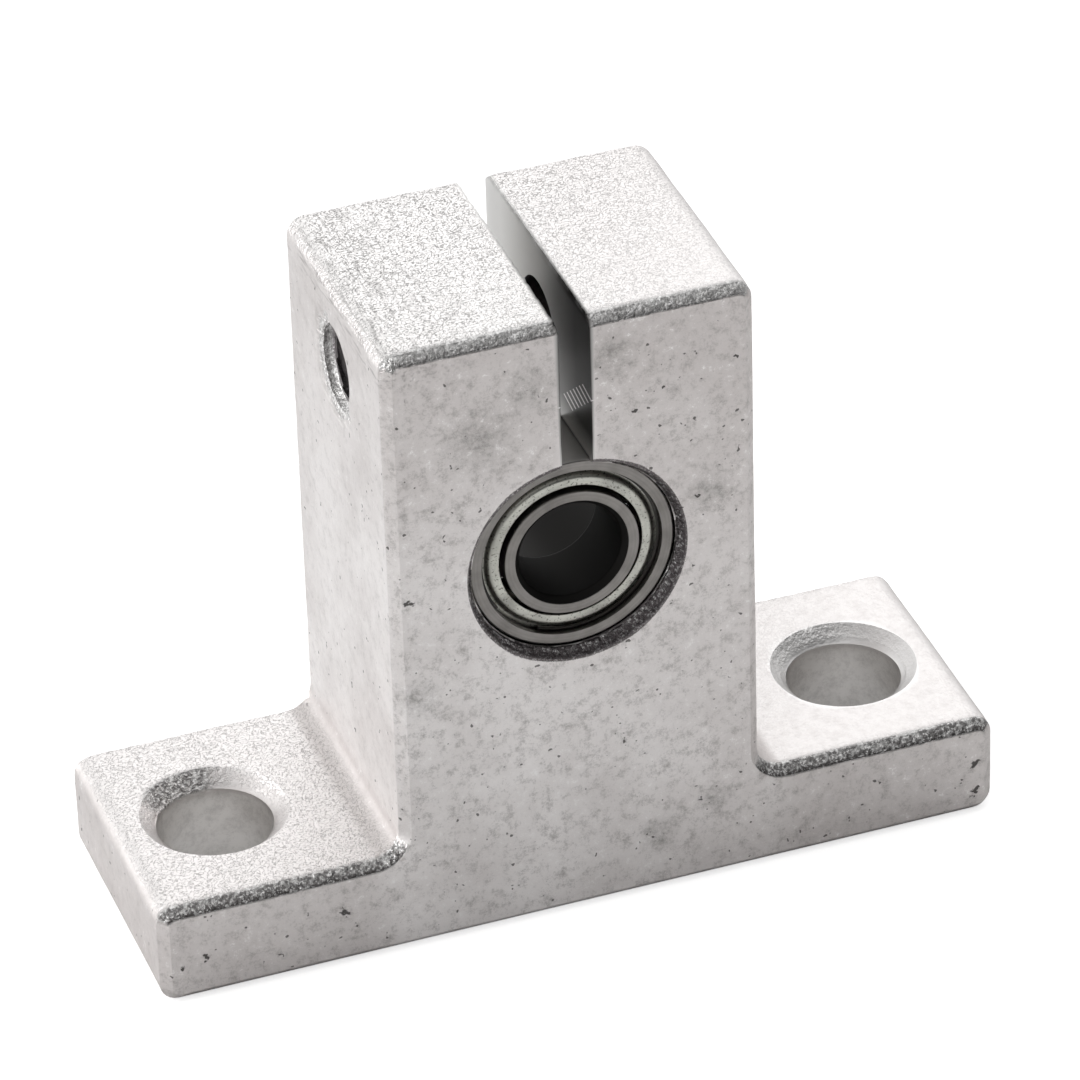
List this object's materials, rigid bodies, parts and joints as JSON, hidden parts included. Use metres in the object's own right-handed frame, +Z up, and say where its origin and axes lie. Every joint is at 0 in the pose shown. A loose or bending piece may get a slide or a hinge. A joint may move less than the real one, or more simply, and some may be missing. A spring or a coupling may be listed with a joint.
{
  "type": "shaft support block",
  "caption": "T-shaped cast aluminium block with a clamping slit that holds a small shielded ball bearing and carries a rotating shaft above a flat base.",
  "frame": {"origin": "on the ground under the middle of the block, midway along its foot and midway through its depth", "axes": "+X along the foot from the tapped ear to the clear ear, +Y along the shaft from the bearing side to the back, +Z up"},
  "size_m": [0.042, 0.014, 0.0328],
  "materials": {
    "cast_aluminium": "cast and shot-blasted",
    "ground_bearing_steel": "ground",
    "pressed_shield_steel": "pressed sheet",
    "spring_steel": "drawn flat",
    "cage_strip": "pressed strip",
    "ball_steel": "lapped"
  },
  "bodies": {
    "housing": {"support_block": "cast_aluminium", "outer_ring": "ground_bearing_steel", "front_shield": "pressed_shield_steel", "rear_shield": "pressed_shield_steel", "front_snap_ring": "spring_steel", "rear_snap_ring": "spring_steel"},
    "shaft_ring": {"inner_ring": "ground_bearing_steel"},
    "ball_set": {"cage_front": "cage_strip", "cage_rear": "cage_strip", "ball_1": "ball_steel", "ball_2": "ball_steel", "ball_3": "ball_steel", "ball_4": "ball_steel", "ball_5": "ball_steel", "ball_6": "ball_steel", "ball_7": "ball_steel", "ball_8": "ball_steel"}
  },
  "joints": [
    {"name": "shaft_spin", "type": "hinge", "parent": "housing", "child": "shaft_ring", "pos_m": [0, -0.0045, 0.02], "axis": [0, 1, 0], "continuous": true},
    {"name": "cage_spin", "type": "hinge", "parent": "housing", "child": "ball_set", "pos_m": [0, -0.0045, 0.02], "axis": [0, 1, 0], "continuous": true}
  ],
  "couplings": [
    {"joint": "cage_spin", "follows": "shaft_spin", "ratio": 0.42}
  ]
}
